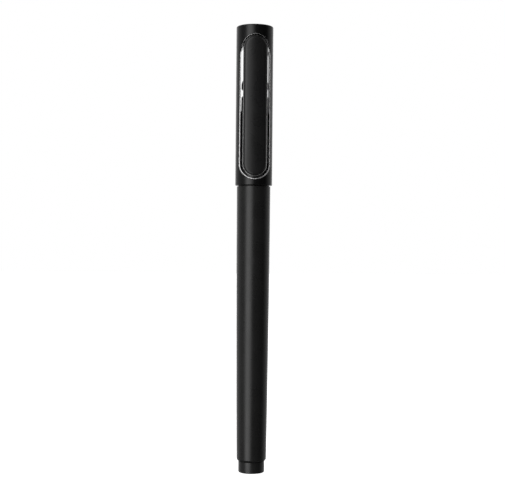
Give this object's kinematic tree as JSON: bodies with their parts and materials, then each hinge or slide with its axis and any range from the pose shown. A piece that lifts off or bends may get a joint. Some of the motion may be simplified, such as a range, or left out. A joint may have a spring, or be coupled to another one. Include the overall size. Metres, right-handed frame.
{
  "type": "technical pen",
  "caption": "Slim capped technical pen in satin black, with a windowed cap, racetrack clip, tapered barrel and end plug.",
  "frame": {"origin": "centre of the end plug's flat face, on the pen's axis, at the foot of the standing pen", "axes": "+Z along the pen's axis towards the cap's top, -Y is the side the clip faces, +X to the right when the clip faces the viewer"},
  "size_m": [0.0118, 0.012, 0.142],
  "materials": {
    "satin_black": "satin",
    "cap_black": "black anodised, satin, with a bright cut edge round the window",
    "gloss_black": "gloss",
    "seal_rubber": "matte",
    "steel": "fine brushed",
    "ring_white": "gloss",
    "nib_grey": "satin",
    "cartridge": "translucent"
  },
  "bodies": {
    "barrel": {"barrel": "satin_black", "end_plug": "satin_black"},
    "section": {"grip_section": "satin_black", "collar_seal": "seal_rubber", "colour_ring": "ring_white"},
    "cartridge": {"ink_cartridge": "cartridge", "cartridge_plug": "cartridge"},
    "nib": {"nib_body": "nib_grey", "nib_seal_ring": "seal_rubber", "nib_cone": "steel", "nib_tube": "steel", "retaining_plug": "nib_grey"},
    "weight": {"drop_weight": "steel", "cleaning_wire": "steel"},
    "cap": {"cap_shell": "cap_black", "cap_core": "gloss_black", "inner_cap": "gloss_black", "seal_spring": "steel"},
    "clip": {"cap_clip": "satin_black"},
    "plunger": {"seal_plunger": "nib_grey", "seal_lip": "seal_rubber"}
  },
  "joints": [
    {"name": "section_pull", "type": "slide", "parent": "barrel", "child": "section", "axis": [0, 0, 1], "range_m": [0, 0.068]},
    {"name": "cartridge_pull", "type": "slide", "parent": "section", "child": "cartridge", "axis": [0, 0, -1], "range_m": [0, 0.012]},
    {"name": "nib_turn", "type": "hinge", "parent": "section", "child": "nib", "pos_m": [0, 0, 0.1], "axis": [0, 0, 1], "range_deg": [0, 350]},
    {"name": "weight_slide", "type": "slide", "parent": "nib", "child": "weight", "axis": [0, 0, 1], "range_m": [0, 0.0024]},
    {"name": "cap_pull", "type": "slide", "parent": "section", "child": "cap", "axis": [0, 0, 1], "range_m": [0, 0.055]},
    {"name": "clip_flex", "type": "hinge", "parent": "cap", "child": "clip", "pos_m": [0, -0.0034, 0.13785], "axis": [-1, 0, 0], "range_deg": [0, 3.5], "stiffness_Nm_per_rad": 0.8},
    {"name": "seal_press", "type": "slide", "parent": "cap", "child": "plunger", "axis": [0, 0, 1], "range_m": [0, 0.0015], "stiffness_N_per_m": 300, "deforming": ["seal_spring"]}
  ]
}
